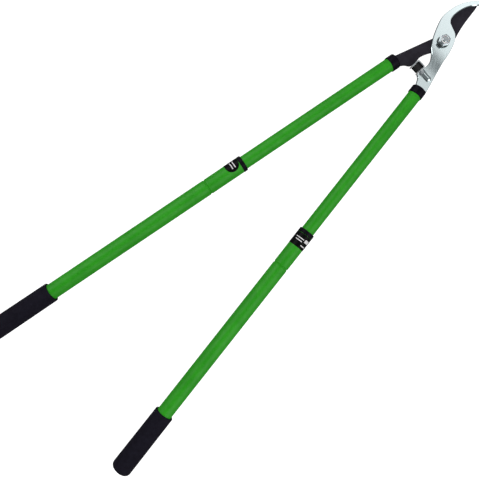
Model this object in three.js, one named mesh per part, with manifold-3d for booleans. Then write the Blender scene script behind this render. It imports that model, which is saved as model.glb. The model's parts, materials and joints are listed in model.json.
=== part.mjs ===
// A bypass lopper with two telescoping handles, lying flat on its grips with the jaws closed and both
// handles pulled out. Millimetres, +Z up.
//
// The pieces are laid out about the pivot: +X points from the pivot to the tips of the jaws, the cutting
// blade's handle runs back on the +Y side and the hook's handle on the -Y side. The blade turns just under
// the plane z = 0, the hook just over it, and the axes of the handle tubes lie in that plane. At the end the
// whole tool is moved so that its origin is the middle of its footprint, on the surface that it lies on.

import * as THREE from "three";
import { mergeVertices } from "three/addons/utils/BufferGeometryUtils.js";
import Module from "manifold-3d";

const wasm = await Module();
wasm.setup();

// ---- Fits ----
const seatGap = 0.3; // between pieces that are seated, pressed or clamped together
const runningGap = 0.3; // between pieces that turn or slide on each other
const labelGap = 0.1; // under a label's film

// ---- Stance of the handles about the pivot ----
const handleAngle = THREE.MathUtils.degToRad(8.95); // each handle against the tool's long axis
const handleOffset = 18.8; // from the pivot to each handle's axis

// ---- Jaws ----
const bladeThickness = 4;
const hookThickness = 6.2;
const padHeight = 6.2; // Y of the blade tang's pad, where it meets the bumper
const bumperSetback = 19.6; // from the front of the hook's ferrule to the bumper's axis, along X
const lugFace = -11; // Y of the hook lug's face, under the bumper
const bladeTang = { inner: 11, outer: 8.4 }; // half widths at the ferrule, about the handle's axis
const hookTang = { inner: 10, outer: 12 };
const tongueLength = 38; // the part of a tang inside its tube
const tongueRoot = 6; // the stretch of it that runs on into the jaw's plate

// ---- Pivot ----
const pivotRadius = 4.85;
const washerThickness = 1.6;
const washerRadius = 10.5;
const nutAcrossFlats = 17;
const nutHeight = 7.5;
const nutCollarHeight = 2.6;
const nutRingWall = 1.7;
const nutCollarWall = 0.6;
const boltStickOut = 1.6; // bolt end past the nut's collar
const boltHeadHeight = 6;
const boltHeadAcrossFlats = 16;

// ---- Bumper ----
const bumperRadius = 7;
const clipThickness = 2;
const clipWidth = 13;
const studRadius = 3;
const studInRubber = 5;
const studInBoss = 13;
const jamNutAcrossFlats = 10;
const jamNutHeight = 5.2;
const bossRadius = 5.6;
const bossLength = 18;
const bossRise = 0.9; // bumper's axis over the middle of the hook's plate

// ---- Handles, as stations along each handle's axis counted from the point nearest the pivot ----
const hookFerruleStart = 85;
const bladeFerruleLead = 3.5; // the blade's ferrule starts this much nearer the pivot
const ferruleLength = 14;
const ferruleWall = 1;
const ferruleFront = 2.5;
const upperTubeRadius = 11.8;
const upperTubeWall = 1;
const mouthStart = 393; // front of the lower tube's guide bush, handles pulled out
const overlap = 77; // upper tube inside the lower handle, handles pulled out
const bushFlange = 7;
const bushWall = 0.6;
const bushSkirt = 24;
const bushProud = 0.4; // bush flange over the lower tube
const lowerTubeWall = 0.8;
const beadLength = 6;
const beadClearance = 0.5; // bead's inside over the upper tube
const labelLength = 24.5;
const labelFilm = 0.25;
const gripStart = 786;
const gripLength = 124;
const gripFrontWall = 3.2;
const gripRearWall = 3.8;
const gripEndWall = 4.4;
const gripEndRound = 8;
const plugLength = 38;
const plugWall = 1; // at the corners of the tongue's slot
const pinRadius = 2.5;
const pinStation = 9; // tang pin, from the front of the ferrule
const spindlePlug = 22;
const spindleShank = 4.5;
const sleeveLength = 24;
const sleeveThinEnd = 2.2;
const sleeveThickEnd = 5.6;
const sleeveSlot = 2;
const spindleHead = 3;
const endPlugLength = 16;
const endPlugWall = 2;

// ---- Fits worked out from the sizes above ----
const upperTubeBore = upperTubeRadius - upperTubeWall;
const bushBore = upperTubeRadius + runningGap;
const bushRadius = bushBore + bushWall;
const lowerTubeBore = bushRadius + seatGap;
const lowerTubeRadius = lowerTubeBore + lowerTubeWall;
const upperTubeEnd = mouthStart + overlap;
const sleeveStart = upperTubeEnd + seatGap;
const lowerTubeStart = mouthStart + bushFlange + seatGap;
const gripEnd = gripStart + gripLength;
const lowerTubeEnd = gripEnd - gripEndWall - seatGap;
const bladeTop = -runningGap / 2;
const bladeBottom = bladeTop - bladeThickness;
const hookBottom = runningGap / 2;
const hookTop = hookBottom + hookThickness;
const bladeFerruleStart = hookFerruleStart - bladeFerruleLead;
const plugRadius = upperTubeBore - seatGap;
const slotHalf = Math.sqrt((plugRadius - plugWall) ** 2 - (hookTop + seatGap) ** 2);
const tongueHalf = slotHalf - seatGap;
const bumperX = handlePoint(-1, hookFerruleStart, 0).x + bumperSetback;
const bumperZ = (hookBottom + hookTop) / 2 + bossRise;

const roundSteps = 36; // facets round a tube
const smallSteps = 24; // facets round a bolt, stud or washer
const curveSteps = 4; // facets between two points of an outline

// ---- Finishes ----
function finish(color, roughness, metalness) {
  return new THREE.MeshStandardMaterial({ color, roughness, metalness });
}

const greenPaint = finish(0x2d951c, 0.35, 0.1);
const coatedSteel = finish(0x2b2830, 0.45, 0.3);
const polishedSteel = finish(0xd6dede, 0.22, 0.9);
const zincSteel = finish(0xb8bcbc, 0.3, 0.9);
const darkenedSteel = finish(0x4a5050, 0.4, 0.8);
const blackPlastic = finish(0x17151c, 0.5, 0);
const blackRubber = finish(0x1a181f, 0.85, 0);
const whiteNylon = finish(0xdfe3e2, 0.5, 0);
const blackFilm = finish(0x121016, 0.3, 0);

// ---- Solids ----
// A closed geometry as a solid that can be joined and cut.
function solid(geometry) {
  const bare = geometry.clone();
  bare.deleteAttribute("normal");
  bare.deleteAttribute("uv");
  const merged = mergeVertices(bare, 1e-4);
  const corners = [...merged.index.array];
  const whole = corners.flatMap((_, i) => {
    const face = i % 3 === 0 ? corners.slice(i, i + 3) : [];
    return new Set(face).size === 3 ? face : [];
  });
  return new wasm.Manifold(
    new wasm.Mesh({
      numProp: 3,
      vertProperties: merged.attributes.position.array,
      triVerts: new Uint32Array(whole),
    }),
  );
}

const join = (first, ...others) => others.reduce((body, other) => body.add(other), first);
const cut = (first, ...tools) => tools.reduce((body, tool) => body.subtract(tool), first);

// A solid as a named mesh.
function piece(name, body, material) {
  const mesh = body.getMesh();
  const positions = new Float32Array(mesh.numVert * 3);
  for (let i = 0; i < mesh.numVert; i++) {
    positions.set(mesh.vertProperties.subarray(i * mesh.numProp, i * mesh.numProp + 3), i * 3);
  }
  const geometry = new THREE.BufferGeometry();
  geometry.setAttribute("position", new THREE.BufferAttribute(positions, 3));
  geometry.setIndex(new THREE.BufferAttribute(mesh.triVerts, 1));
  geometry.computeVertexNormals();
  const made = new THREE.Mesh(geometry, material);
  made.name = name;
  return made;
}

// A profile of [station, radius] points turned about the X axis: the outside from the low station to the
// high one, then back along the bore.
function turned(profile, steps = roundSteps) {
  const points = profile.map(([station, radius]) => new THREE.Vector2(radius, station));
  points.push(points[0].clone());
  return solid(new THREE.LatheGeometry(points, steps).rotateZ(-Math.PI / 2));
}

// A plain tube along X.
function tube(start, end, radius, bore) {
  return turned([[start, bore], [start, radius], [end, radius], [end, bore]]);
}

// A rod along X.
function rod(start, end, radius, steps = roundSteps) {
  return turned([[start, 0], [start, radius], [end, radius], [end, 0]], steps);
}

// An upright rod about the pivot, or moved off it.
function uprightRod(bottom, top, radius, x = 0, y = 0, steps = smallSteps) {
  const shape = new THREE.CylinderGeometry(radius, radius, top - bottom, steps);
  return solid(shape.rotateX(Math.PI / 2).translate(x, y, (bottom + top) / 2));
}

// A box between two corners.
function block(low, high) {
  const size = low.map((value, i) => high[i] - value);
  const middle = low.map((value, i) => (high[i] + value) / 2);
  return solid(new THREE.BoxGeometry(...size).translate(...middle));
}

// An outline in the XY plane as a plate between two heights.
function plate(outline, bottom, top) {
  const options = { depth: top - bottom, bevelEnabled: false, curveSegments: curveSteps };
  return solid(new THREE.ExtrudeGeometry(outline, options).translate(0, 0, bottom));
}

// A hexagon prism along Y with its corners turned down at both ends, its middle at the origin.
function hexagon(acrossFlats, height) {
  const corner = acrossFlats / Math.sqrt(3);
  const turnDown = corner - acrossFlats / 2;
  const prism = solid(new THREE.CylinderGeometry(corner, corner, height, 6));
  const rise = turnDown * Math.tan(Math.PI / 6);
  const half = height / 2;
  const barrel = [
    [0, -half],
    [acrossFlats / 2, -half],
    [corner, rise - half],
    [corner, half - rise],
    [acrossFlats / 2, half],
    [0, half],
  ].map(([radius, y]) => new THREE.Vector2(radius, y));
  return prism.intersect(solid(new THREE.LatheGeometry(barrel, smallSteps)));
}

// ---- Handle frames: side is +1 for the cutting blade's handle and -1 for the hook's ----
// A point in the pivot's frame, given by its station along the handle and its distance out from the axis.
function handlePoint(side, station, outward) {
  const reach = handleOffset + outward;
  return new THREE.Vector2(
    reach * Math.sin(handleAngle) - station * Math.cos(handleAngle),
    side * (reach * Math.cos(handleAngle) + station * Math.sin(handleAngle)),
  );
}

function handleFrame(side) {
  const frame = new THREE.Group();
  const foot = handlePoint(side, 0, 0);
  frame.position.set(foot.x, foot.y, 0);
  frame.rotation.z = Math.PI - side * handleAngle;
  frame.updateMatrix();
  return frame;
}

const spots = (...pairs) => pairs.map(([x, y]) => new THREE.Vector2(x, y));

// The straight tongue of a tang, which runs up inside the handle's tube, with its pin hole.
function tongue(side, front, bottom, top) {
  const bar = block([front - tongueRoot, -tongueHalf, bottom], [front + tongueLength, tongueHalf, top]);
  const hole = uprightRod(bottom - 1, top + 1, pinRadius + seatGap, front + pinStation);
  return cut(bar, hole).transform(handleFrame(side).matrix.elements);
}

// ---- Jaws ----
function cuttingBlade() {
  const outline = new THREE.Shape();
  outline.moveTo(88, 5);
  outline.splineThru(spots([76, 16], [61, 23.4], [45, 26], [28, 24], [10, 18.4], [-5, 16]));
  const tangEnd = bladeFerruleStart - seatGap;
  outline.lineTo(...handlePoint(1, tangEnd, bladeTang.outer));
  outline.lineTo(...handlePoint(1, tangEnd, -bladeTang.inner));
  outline.splineThru([
    handlePoint(1, tangEnd - 7.7, -bladeTang.inner - 3.7),
    ...spots([bumperX - 5, padHeight + 2.2], [bumperX, padHeight]),
  ]);
  outline.lineTo(bumperX + bumperRadius + clipThickness, padHeight);
  outline.splineThru(spots([bumperX + 18.4, padHeight + 1.2], [bumperX + 27.4, padHeight - 1.2]));
  outline.splineThru([
    ...spots([bumperX + 38.4, padHeight - 6.8], [-5, -14.4]),
    ...spots([3, -15.4], [14, -12.6], [24, -9.8]),
  ]);
  outline.splineThru(spots([37, -5.6], [52, -2], [69, 1], [80, 2.8], [88, 5]));
  const body = plate(outline, bladeBottom, bladeTop);
  const bore = uprightRod(bladeBottom - 1, bladeTop + 1, pivotRadius + runningGap / 2);
  const tang = tongue(1, bladeFerruleStart, bladeBottom, bladeTop);
  return piece("cutting_blade", cut(join(body, tang), bore), coatedSteel);
}

function hookBlade() {
  const outline = new THREE.Shape();
  outline.moveTo(97, 0);
  outline.splineThru([
    ...spots([91, 9.4], [80, 19], [64, 27.2], [46, 31.4], [27, 31.2], [2, 21]),
    ...spots([bumperX + 43.4, lugFace + 19.7], [bumperX + 33.4, lugFace + 8.4]),
    ...spots([bumperX + 24.4, lugFace + 1.6], [bumperX + 15.4, lugFace - 0.4]),
  ]);
  outline.lineTo(bumperX + 12, lugFace);
  outline.lineTo(bumperX - 8, lugFace);
  const tangEnd = hookFerruleStart - seatGap;
  const tangCorner = handlePoint(-1, tangEnd, -hookTang.inner);
  outline.splineThru([handlePoint(-1, tangEnd - 10, -hookTang.inner - 4), tangCorner]);
  outline.lineTo(...handlePoint(-1, tangEnd, hookTang.outer));
  outline.lineTo(-25, -26);
  outline.splineThru(spots([-8, -22.2], [6, -17.6], [17, -11.8], [24.5, -4], [28, 5], [31.5, 14]));
  outline.splineThru(spots([38, 19], [48, 20], [62, 17.8], [75, 12.6], [86, 4.6], [97, 0]));

  const face = lugFace - jamNutHeight - 2 * seatGap;
  const bossEnd = face - bossLength + bossRadius;
  const dome = solid(new THREE.SphereGeometry(bossRadius, smallSteps, smallSteps / 2));
  const boss = join(bumperStack(bossEnd, face, bossRadius), dome.translate([bumperX, bossEnd, bumperZ]));
  const aboveBack = block([-150, -100, hookBottom], [150, 100, 60]);
  const pocketHalf = jamNutAcrossFlats / 2 + seatGap;
  const pocket = block(
    [bumperX - pocketHalf, face, hookBottom - 1],
    [bumperX + pocketHalf, lugFace + 1, hookTop + 1],
  );
  const studHole = bumperStack(face - studInBoss - 1, face + 1, studRadius + seatGap / 2);
  const bore = uprightRod(hookBottom - 1, hookTop + 1, pivotRadius + runningGap / 2);
  const tang = tongue(-1, hookFerruleStart, hookBottom, hookTop);
  const body = join(plate(outline, hookBottom, hookTop), tang, boss);
  return piece("hook_blade", cut(body.intersect(aboveBack), pocket, studHole, bore), polishedSteel);
}

// ---- Pivot ----
function hexagonUpright(acrossFlats, bottom, top) {
  return hexagon(acrossFlats, top - bottom).rotate([90, 0, 0]).translate([0, 0, (bottom + top) / 2]);
}

function pivotPieces() {
  const bore = pivotRadius + runningGap / 2;
  const hole = (bottom, top) => uprightRod(bottom - 1, top + 1, bore);
  const frontWasher = hookTop + seatGap;
  const nutBottom = frontWasher + washerThickness + seatGap;
  const nutTop = nutBottom + nutHeight;
  const collarTop = nutTop + nutCollarHeight;
  const ringRadius = bore + nutRingWall;
  const collarRadius = ringRadius + seatGap + nutCollarWall;
  const backWasher = bladeBottom - seatGap;
  const headTop = backWasher - washerThickness - seatGap;
  const collar = uprightRod(nutTop - 1, collarTop, collarRadius);
  const nut = join(hexagonUpright(nutAcrossFlats, nutBottom, nutTop), collar);
  const ringSeat = uprightRod(nutTop, collarTop + 1, ringRadius + seatGap);
  const ring = uprightRod(nutTop + seatGap, collarTop - 0.4, ringRadius);
  const bolt = join(
    hexagonUpright(boltHeadAcrossFlats, headTop - boltHeadHeight, headTop),
    uprightRod(headTop - 1, collarTop + boltStickOut, pivotRadius),
  );
  const washer = (bottom) => {
    const top = bottom + washerThickness;
    return cut(uprightRod(bottom, top, washerRadius), hole(bottom, top));
  };
  return [
    piece("pivot_bolt", bolt, zincSteel),
    piece("pivot_nut", cut(nut, ringSeat, hole(nutBottom, collarTop)), zincSteel),
    piece("pivot_nut_ring", cut(ring, hole(nutTop, collarTop)), whiteNylon),
    piece("pivot_washer_front", washer(frontWasher), darkenedSteel),
    piece("pivot_washer_back", washer(backWasher - washerThickness), zincSteel),
  ];
}

// ---- Bumper ----
// A rod along Y on the bumper's axis.
function bumperStack(low, high, radius) {
  const shape = new THREE.CylinderGeometry(radius, radius, high - low, smallSteps);
  return solid(shape.translate(bumperX, (low + high) / 2, bumperZ));
}

function bumperPieces() {
  const clipTop = padHeight - seatGap;
  const rubberTop = clipTop - clipThickness - seatGap;
  const clipBottom = lugFace + seatGap;
  const rubberBottom = clipBottom + clipThickness + seatGap;
  const nutTop = lugFace - seatGap;
  const nutBottom = nutTop - jamNutHeight;
  const inside = bumperRadius + seatGap;
  const low = bumperZ - clipWidth / 2;
  const high = bumperZ + clipWidth / 2;
  const openEnd = bumperX - bumperRadius;
  const strap = block([openEnd, clipBottom, low], [bumperX + inside + clipThickness, clipTop, high]);
  const mouth = block(
    [openEnd - 1, clipBottom + clipThickness, low - 1],
    [bumperX + inside, clipTop - clipThickness, high + 1],
  );
  const clipHole = bumperStack(clipBottom - 1, rubberBottom + 1, studRadius + seatGap);
  const rubber = bumperStack(rubberBottom, rubberTop, bumperRadius);
  const holeTop = rubberBottom + studInRubber + seatGap;
  const rubberHole = bumperStack(rubberBottom - 1, holeTop, studRadius + seatGap);
  const stud = bumperStack(nutBottom - seatGap - studInBoss, rubberBottom + studInRubber, studRadius);
  const nut = hexagon(jamNutAcrossFlats, jamNutHeight);
  const nutHole = bumperStack(nutBottom - 1, nutTop + 1, studRadius + seatGap);
  const jamNut = cut(nut.translate([bumperX, (nutBottom + nutTop) / 2, bumperZ]), nutHole);
  return [
    piece("bumper", cut(rubber, rubberHole), blackRubber),
    piece("bumper_clip", cut(strap, mouth, clipHole), zincSteel),
    piece("bumper_stud", stud, zincSteel),
    piece("bumper_jam_nut", jamNut, zincSteel),
  ];
}

// ---- Handles: every piece is turned about its handle's axis ----
function headEnd(prefix, front, bottom, top) {
  const slotEnd = front + tongueLength + seatGap;
  const slot = block([front - 1, -slotHalf, bottom - seatGap], [slotEnd, slotHalf, top + seatGap]);
  const pinAt = front + pinStation;
  const upperTubeStart = front + ferruleFront + seatGap;
  const pinHole = uprightRod(-2 * upperTubeRadius, 2 * upperTubeRadius, pinRadius + seatGap, pinAt);
  const ferruleBore = upperTubeRadius + seatGap;
  const ferruleRadius = ferruleBore + ferruleWall;
  const ferruleEnd = front + ferruleLength;
  const cap = turned([
    [front, 0],
    [front, ferruleRadius - 1.2],
    [front + 1.2, ferruleRadius],
    [ferruleEnd - 0.5, ferruleRadius],
    [ferruleEnd, ferruleRadius - 0.5],
    [ferruleEnd, ferruleBore],
    [front + ferruleFront, ferruleBore],
    [front + ferruleFront, 0],
  ]);
  const plugEnd = upperTubeStart + plugLength;
  const pinHalf = upperTubeRadius - seatGap;
  const upperTube = tube(upperTubeStart, upperTubeEnd, upperTubeRadius, upperTubeBore);
  return [
    piece(prefix + "head_ferrule", cut(cap, slot), blackPlastic),
    piece(prefix + "upper_tube", cut(upperTube, pinHole), greenPaint),
    piece(prefix + "tang_plug", cut(rod(upperTubeStart, plugEnd, plugRadius), slot, pinHole), blackPlastic),
    piece(prefix + "tang_pin", uprightRod(-pinHalf, pinHalf, pinRadius, pinAt), zincSteel),
  ];
}

// The twist lock at the inner end of the upper tube: a spindle with a cone, and a split sleeve on the cone
// that swells against the lower tube's wall.
function lockPieces(prefix) {
  const sleeveEnd = sleeveStart + sleeveLength;
  const sleeveRadius = lowerTubeBore - runningGap;
  const wideBore = sleeveRadius - sleeveThinEnd;
  const narrowBore = sleeveRadius - sleeveThickEnd;
  const sleeve = turned([
    [sleeveStart, narrowBore],
    [sleeveStart, sleeveRadius - 0.6],
    [sleeveStart + 0.6, sleeveRadius],
    [sleeveEnd - 0.6, sleeveRadius],
    [sleeveEnd, sleeveRadius - 0.6],
    [sleeveEnd, wideBore],
  ]);
  const slotHalfWidth = sleeveSlot / 2;
  const split = block(
    [sleeveStart - 1, 0, -slotHalfWidth],
    [sleeveEnd + 1, 2 * sleeveRadius, slotHalfWidth],
  );
  const spindle = turned([
    [upperTubeEnd - spindlePlug, 0],
    [upperTubeEnd - spindlePlug, plugRadius],
    [upperTubeEnd - 1, plugRadius],
    [upperTubeEnd - 1, spindleShank],
    [sleeveStart + 2, spindleShank],
    [sleeveStart + 2, narrowBore - 2 * runningGap],
    [sleeveEnd, wideBore - 2 * runningGap],
    [sleeveEnd + spindleHead, wideBore - 2 * runningGap],
    [sleeveEnd + spindleHead, 0],
  ]);
  return [
    piece(prefix + "lock_spindle", spindle, blackPlastic),
    piece(prefix + "lock_sleeve", cut(sleeve, split), blackPlastic),
  ];
}

function lowerHandle(prefix) {
  const bushEnd = lowerTubeStart + bushSkirt;
  const flangeRadius = lowerTubeRadius + bushProud;
  const bush = turned([
    [mouthStart, bushBore],
    [mouthStart, flangeRadius - 1],
    [mouthStart + 1, flangeRadius],
    [mouthStart + bushFlange, flangeRadius],
    [mouthStart + bushFlange, bushRadius],
    [bushEnd, bushRadius],
    [bushEnd, bushBore],
  ]);
  const bead = sleeveStart - runningGap - beadLength / 2;
  const beadDepth = lowerTubeBore - upperTubeRadius - beadClearance;
  const beadSteps = 6;
  const beadWave = (radius) =>
    Array.from({ length: beadSteps + 1 }, (_, i) => {
      const turn = (2 * Math.PI * i) / beadSteps;
      return [bead + beadLength * (i / beadSteps - 0.5), radius - (beadDepth * (1 - Math.cos(turn))) / 2];
    });
  const lowerTube = turned([
    [lowerTubeStart, lowerTubeBore],
    [lowerTubeStart, lowerTubeRadius],
    ...beadWave(lowerTubeRadius),
    [lowerTubeEnd, lowerTubeRadius],
    [lowerTubeEnd, lowerTubeBore],
    ...beadWave(lowerTubeBore).reverse(),
  ]);
  const labelStart = lowerTubeStart + seatGap;
  const labelBore = lowerTubeRadius + labelGap;
  const label = tube(labelStart, labelStart + labelLength, labelBore + labelFilm, labelBore);
  const gripBore = lowerTubeRadius + seatGap;
  const cornerSteps = 6;
  const roundMiddle = gripBore + gripRearWall - gripEndRound;
  const endRound = Array.from({ length: cornerSteps + 1 }, (_, i) => {
    const turn = (Math.PI / 2) * (i / cornerSteps);
    return [gripEnd - gripEndRound * (1 - Math.sin(turn)), roundMiddle + gripEndRound * Math.cos(turn)];
  });
  const grip = turned([
    [gripStart, gripBore],
    [gripStart, gripBore + gripFrontWall - 1],
    [gripStart + 1, gripBore + gripFrontWall],
    ...endRound,
    [gripEnd, 0],
    [gripEnd - gripEndWall, 0],
    [gripEnd - gripEndWall, gripBore],
  ]);
  const plugOut = lowerTubeBore - seatGap;
  const plugIn = plugOut - endPlugWall;
  const endPlug = turned([
    [lowerTubeEnd - endPlugLength, plugIn],
    [lowerTubeEnd - endPlugLength, plugOut],
    [lowerTubeEnd, plugOut],
    [lowerTubeEnd, 0],
    [lowerTubeEnd - endPlugWall, 0],
    [lowerTubeEnd - endPlugWall, plugIn],
  ]);
  return [
    piece(prefix + "guide_bush", bush, blackPlastic),
    piece(prefix + "lower_tube", lowerTube, greenPaint),
    piece(prefix + "label", label, blackFilm),
    piece(prefix + "grip", grip, blackRubber),
    piece(prefix + "end_plug", endPlug, blackPlastic),
  ];
}

function handle(side, prefix, ...head) {
  const frame = handleFrame(side);
  frame.add(...headEnd(prefix, ...head), ...lockPieces(prefix), ...lowerHandle(prefix));
  return frame;
}

// ---- The whole tool ----
const tool = new THREE.Group();
tool.add(cuttingBlade(), hookBlade(), ...pivotPieces(), ...bumperPieces());
tool.add(
  handle(1, "cutter_", bladeFerruleStart, bladeBottom, bladeTop),
  handle(-1, "hook_", hookFerruleStart, hookBottom, hookTop),
);

const extent = new THREE.Box3().setFromObject(tool, true);
const middle = extent.getCenter(new THREE.Vector3());
tool.position.set(-middle.x, -middle.y, -extent.min.z);

const lopper = new THREE.Group();
lopper.add(tool);

export default lopper;
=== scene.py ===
# %% [markdown]
# # A bypass lopper with two telescoping handles
# The tool lies flat with its jaws closed and both handles pulled out. The CAD model already fixes every
# size, place and joint, so this script only makes the looks: finer shapes that stand for the faceted
# parts, and a finish for each one. Lengths are metres, and +X points from the grips to the tips of the jaws.

# %% Load the frame
import json
import math
import bmesh
import bpy
from mathutils import Matrix, Vector
from mathutils.geometry import delaunay_2d_cdt


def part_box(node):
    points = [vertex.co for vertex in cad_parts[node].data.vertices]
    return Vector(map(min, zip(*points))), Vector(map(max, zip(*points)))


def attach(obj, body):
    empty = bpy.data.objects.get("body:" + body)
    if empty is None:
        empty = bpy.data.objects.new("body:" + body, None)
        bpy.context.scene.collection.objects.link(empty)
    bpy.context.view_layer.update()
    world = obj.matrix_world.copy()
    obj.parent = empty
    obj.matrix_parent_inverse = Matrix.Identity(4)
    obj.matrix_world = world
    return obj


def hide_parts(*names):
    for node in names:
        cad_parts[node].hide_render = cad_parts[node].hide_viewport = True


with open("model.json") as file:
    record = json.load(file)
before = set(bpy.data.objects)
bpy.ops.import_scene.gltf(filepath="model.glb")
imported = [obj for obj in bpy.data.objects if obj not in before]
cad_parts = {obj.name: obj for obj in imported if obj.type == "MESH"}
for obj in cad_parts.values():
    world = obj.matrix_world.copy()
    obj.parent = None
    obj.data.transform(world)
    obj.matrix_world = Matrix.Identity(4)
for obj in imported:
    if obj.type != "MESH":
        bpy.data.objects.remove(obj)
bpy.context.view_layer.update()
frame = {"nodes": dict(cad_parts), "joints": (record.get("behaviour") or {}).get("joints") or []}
joints = {joint["name"]: joint for joint in frame["joints"]}
mm = 0.001

# %% [markdown]
# ## Where things are
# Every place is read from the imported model. The pivot is the joint that the jaws turn on. Each handle is a
# straight run of turned pieces, so it gets a frame of its own: x runs along the tube away from the jaws,
# z is up, and a piece is described by stations along x and by radii. That is how a lathe hand would
# dimension it, and one matrix then puts it in place.

# %% The pivot and the two handle frames
pivot = Vector(joints["pivot"]["pos_m"])
prefixes = ("cutter", "hook")
up = Vector((0, 0, 1))


def handle_frame(prefix):
    lock = joints[prefix + "_twist_lock"]
    along = Vector(lock["axis"]).normalized()
    place = Matrix((along, up.cross(along), up)).transposed().to_4x4()
    place.translation = Vector(lock["pos_m"])
    return place


handles = {prefix: handle_frame(prefix) for prefix in prefixes}
fixed_body = {"cutter": "blade_side", "hook": "hook_side"}
print("pivot", [round(v, 4) for v in pivot])


# %% Stations and radii of a CAD part about its handle
class Reach:
    def __init__(self, node, place):
        spots = [place.inverted() @ vertex.co for vertex in frame["nodes"][node].data.vertices]
        stations = [spot.x for spot in spots]
        radii = [math.hypot(spot.y, spot.z) for spot in spots]
        self.start = min(stations)
        self.end = max(stations)
        self.radius = max(radii)
        self.bore = min(radii)


def reach(prefix, part):
    return Reach(prefix + "_" + part, handles[prefix])


print("hook grip radius", round(reach("hook", "grip").radius / mm, 2), "mm")

# %% [markdown]
# ## Camera
# The view looks straight down on the tool from just under a metre, turned so that the jaws point to the
# upper right. Being that close gives the parts far from the middle a slight lean outwards, and shows the
# near walls of the nut and the hook.

# %% Camera
camera_height = 0.95
camera_place = (-0.0788, -0.0111, pivot.z + camera_height)
camera_turn = math.radians(-42.85)
scene = bpy.context.scene
camera = bpy.data.objects.new("camera", bpy.data.cameras.new("camera"))
camera.data.sensor_width = 36
camera.data.lens = 42
camera.data.clip_end = 50
camera.location = camera_place
camera.rotation_euler = (0, 0, camera_turn)
scene.collection.objects.link(camera)
scene.camera = camera
print("camera", [round(v, 3) for v in camera.location])

# %% [markdown]
# ## Studio
# The tool is shown on a plain pale floor. Two large soft lights stand at its sides, so the round tubes are
# brightest on top and darker at their edges, with a faint sheen either side of the middle. Flat polished
# steel only shows what it mirrors. So three small panels hang level past the tips of the jaws, where the
# hook's face reflects them: a bright one for the tip, a dimmer one for the pivot, then a gap, which is the
# dark band across the tang, and one more for the ferrule's end. A panel's power is its brightness times
# its area times pi.

# %% Lights
scene.view_settings.view_transform = "Standard"


def soft_light(name, place, target, size, power):
    data = bpy.data.lights.new(name, "AREA")
    data.shape = "RECTANGLE"
    data.size, data.size_y = size
    data.energy = power
    light = bpy.data.objects.new(name, data)
    light.location = place
    light.rotation_euler = (Vector(target) - Vector(place)).to_track_quat("-Z", "Y").to_euler()
    scene.collection.objects.link(light)


def mirrored_panel(name, start, end, middle, width, brightness):
    """A level panel from one x to another, at the height where the hook's face mirrors it."""
    place = ((start + end) / 2, middle, panel_height)
    just_off_plumb = (place[0] + 1e-5, middle, 0)
    length = end - start
    soft_light(name, place, just_off_plumb, (length, width), brightness * math.pi * length * width)


panel_height = 1.6
side_distance = 1.7
side_height = 1.5
side_power = 49
for name, side in (("side_light_left", 1), ("side_light_right", -1)):
    soft_light(name, (0.1, side * side_distance, side_height), (0.05, 0, 0), (3.0, 1.8), side_power)
mirrored_panel("tip_panel", 1.31, 1.75, 0.06, 0.5, 1.0)
mirrored_panel("pivot_panel", 1.145, 1.31, 0.02, 0.4, 0.84)
mirrored_panel("tang_panel", 0.86, 1.07, -0.06, 0.4, 0.66)

# %% [markdown]
# ## Shader tools
# A finish is a Principled BSDF with a few small effects in front of it: a cloudy change of tone, a fine
# grain, hairlines from polishing, and wear on edges. Each effect is a node group, made once, with its own
# values in every finish. Object coordinates are metres here, so a noise of scale 1000 has grains of 1 mm.


# %% Building blocks for node trees
def group_tree(name, inputs, outputs):
    tree = bpy.data.node_groups.new(name, "ShaderNodeTree")
    for title, kind, value in inputs:
        socket = tree.interface.new_socket(title, in_out="INPUT", socket_type=kind)
        socket.default_value = value
    for title, kind in outputs:
        tree.interface.new_socket(title, in_out="OUTPUT", socket_type=kind)
    entry = tree.nodes.new("NodeGroupInput")
    leave = tree.nodes.new("NodeGroupOutput")
    return tree, entry.outputs, leave.inputs


def feed(tree, socket, value):
    if isinstance(value, bpy.types.NodeSocket):
        tree.links.new(value, socket)
    else:
        socket.default_value = value


def added(tree, kind, settings=None, **inputs):
    """A new node, set and fed. In the name of an input an underscore stands for a space."""
    made = tree.nodes.new(kind)
    for name, value in (settings or {}).items():
        setattr(made, name, value)
    for title, value in inputs.items():
        feed(tree, made.inputs[title.replace("_", " ")], value)
    return made


def math_node(tree, operation, first, second=0.0, clamp=False):
    made = added(tree, "ShaderNodeMath", {"operation": operation, "use_clamp": clamp})
    feed(tree, made.inputs[0], first)
    feed(tree, made.inputs[1], second)
    return made.outputs[0]


def object_place(tree):
    return tree.nodes.new("ShaderNodeTexCoord").outputs["Object"]


def noise(tree, scale, detail=3.0, place=None):
    where = place or object_place(tree)
    return added(tree, "ShaderNodeTexNoise", Vector=where, Scale=scale, Detail=detail).outputs["Fac"]


def stretched(tree, value, low, high, to_low, to_high):
    ends = {"From Min": low, "From Max": high, "To Min": to_low, "To Max": to_high}
    return added(tree, "ShaderNodeMapRange", Value=value, **ends).outputs["Result"]


FLOAT = "NodeSocketFloat"
print("node helpers ready")

# %% [markdown]
# ## Surroundings
# The world is a pale sky that looks bright to the camera but lights the tool only a little, so the black
# parts stay black. A Light Path node tells the camera's own rays from the rest.


# %% Surroundings
def shown_and_felt(tree, shown, felt):
    """One brightness for the camera's own rays and another for all others."""
    seen = tree.nodes.new("ShaderNodeLightPath").outputs["Is Camera Ray"]
    return stretched(tree, seen, 0.0, 1.0, felt, shown)


world = bpy.data.worlds.new("studio")
world.use_nodes = True
sky = world.node_tree.nodes["Background"]
sky.inputs["Color"].default_value = (0.92, 0.96, 1.0, 1)
feed(world.node_tree, sky.inputs["Strength"], shown_and_felt(world.node_tree, shown=1.1, felt=0.18))
scene.world = world
print("world", world.name)

# %% [markdown]
# ### Clouding
# No painted, plated or moulded surface has exactly one tone. A soft noise, stretched to a low and a high
# value, moves a roughness or a mix factor a little from place to place.

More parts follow.
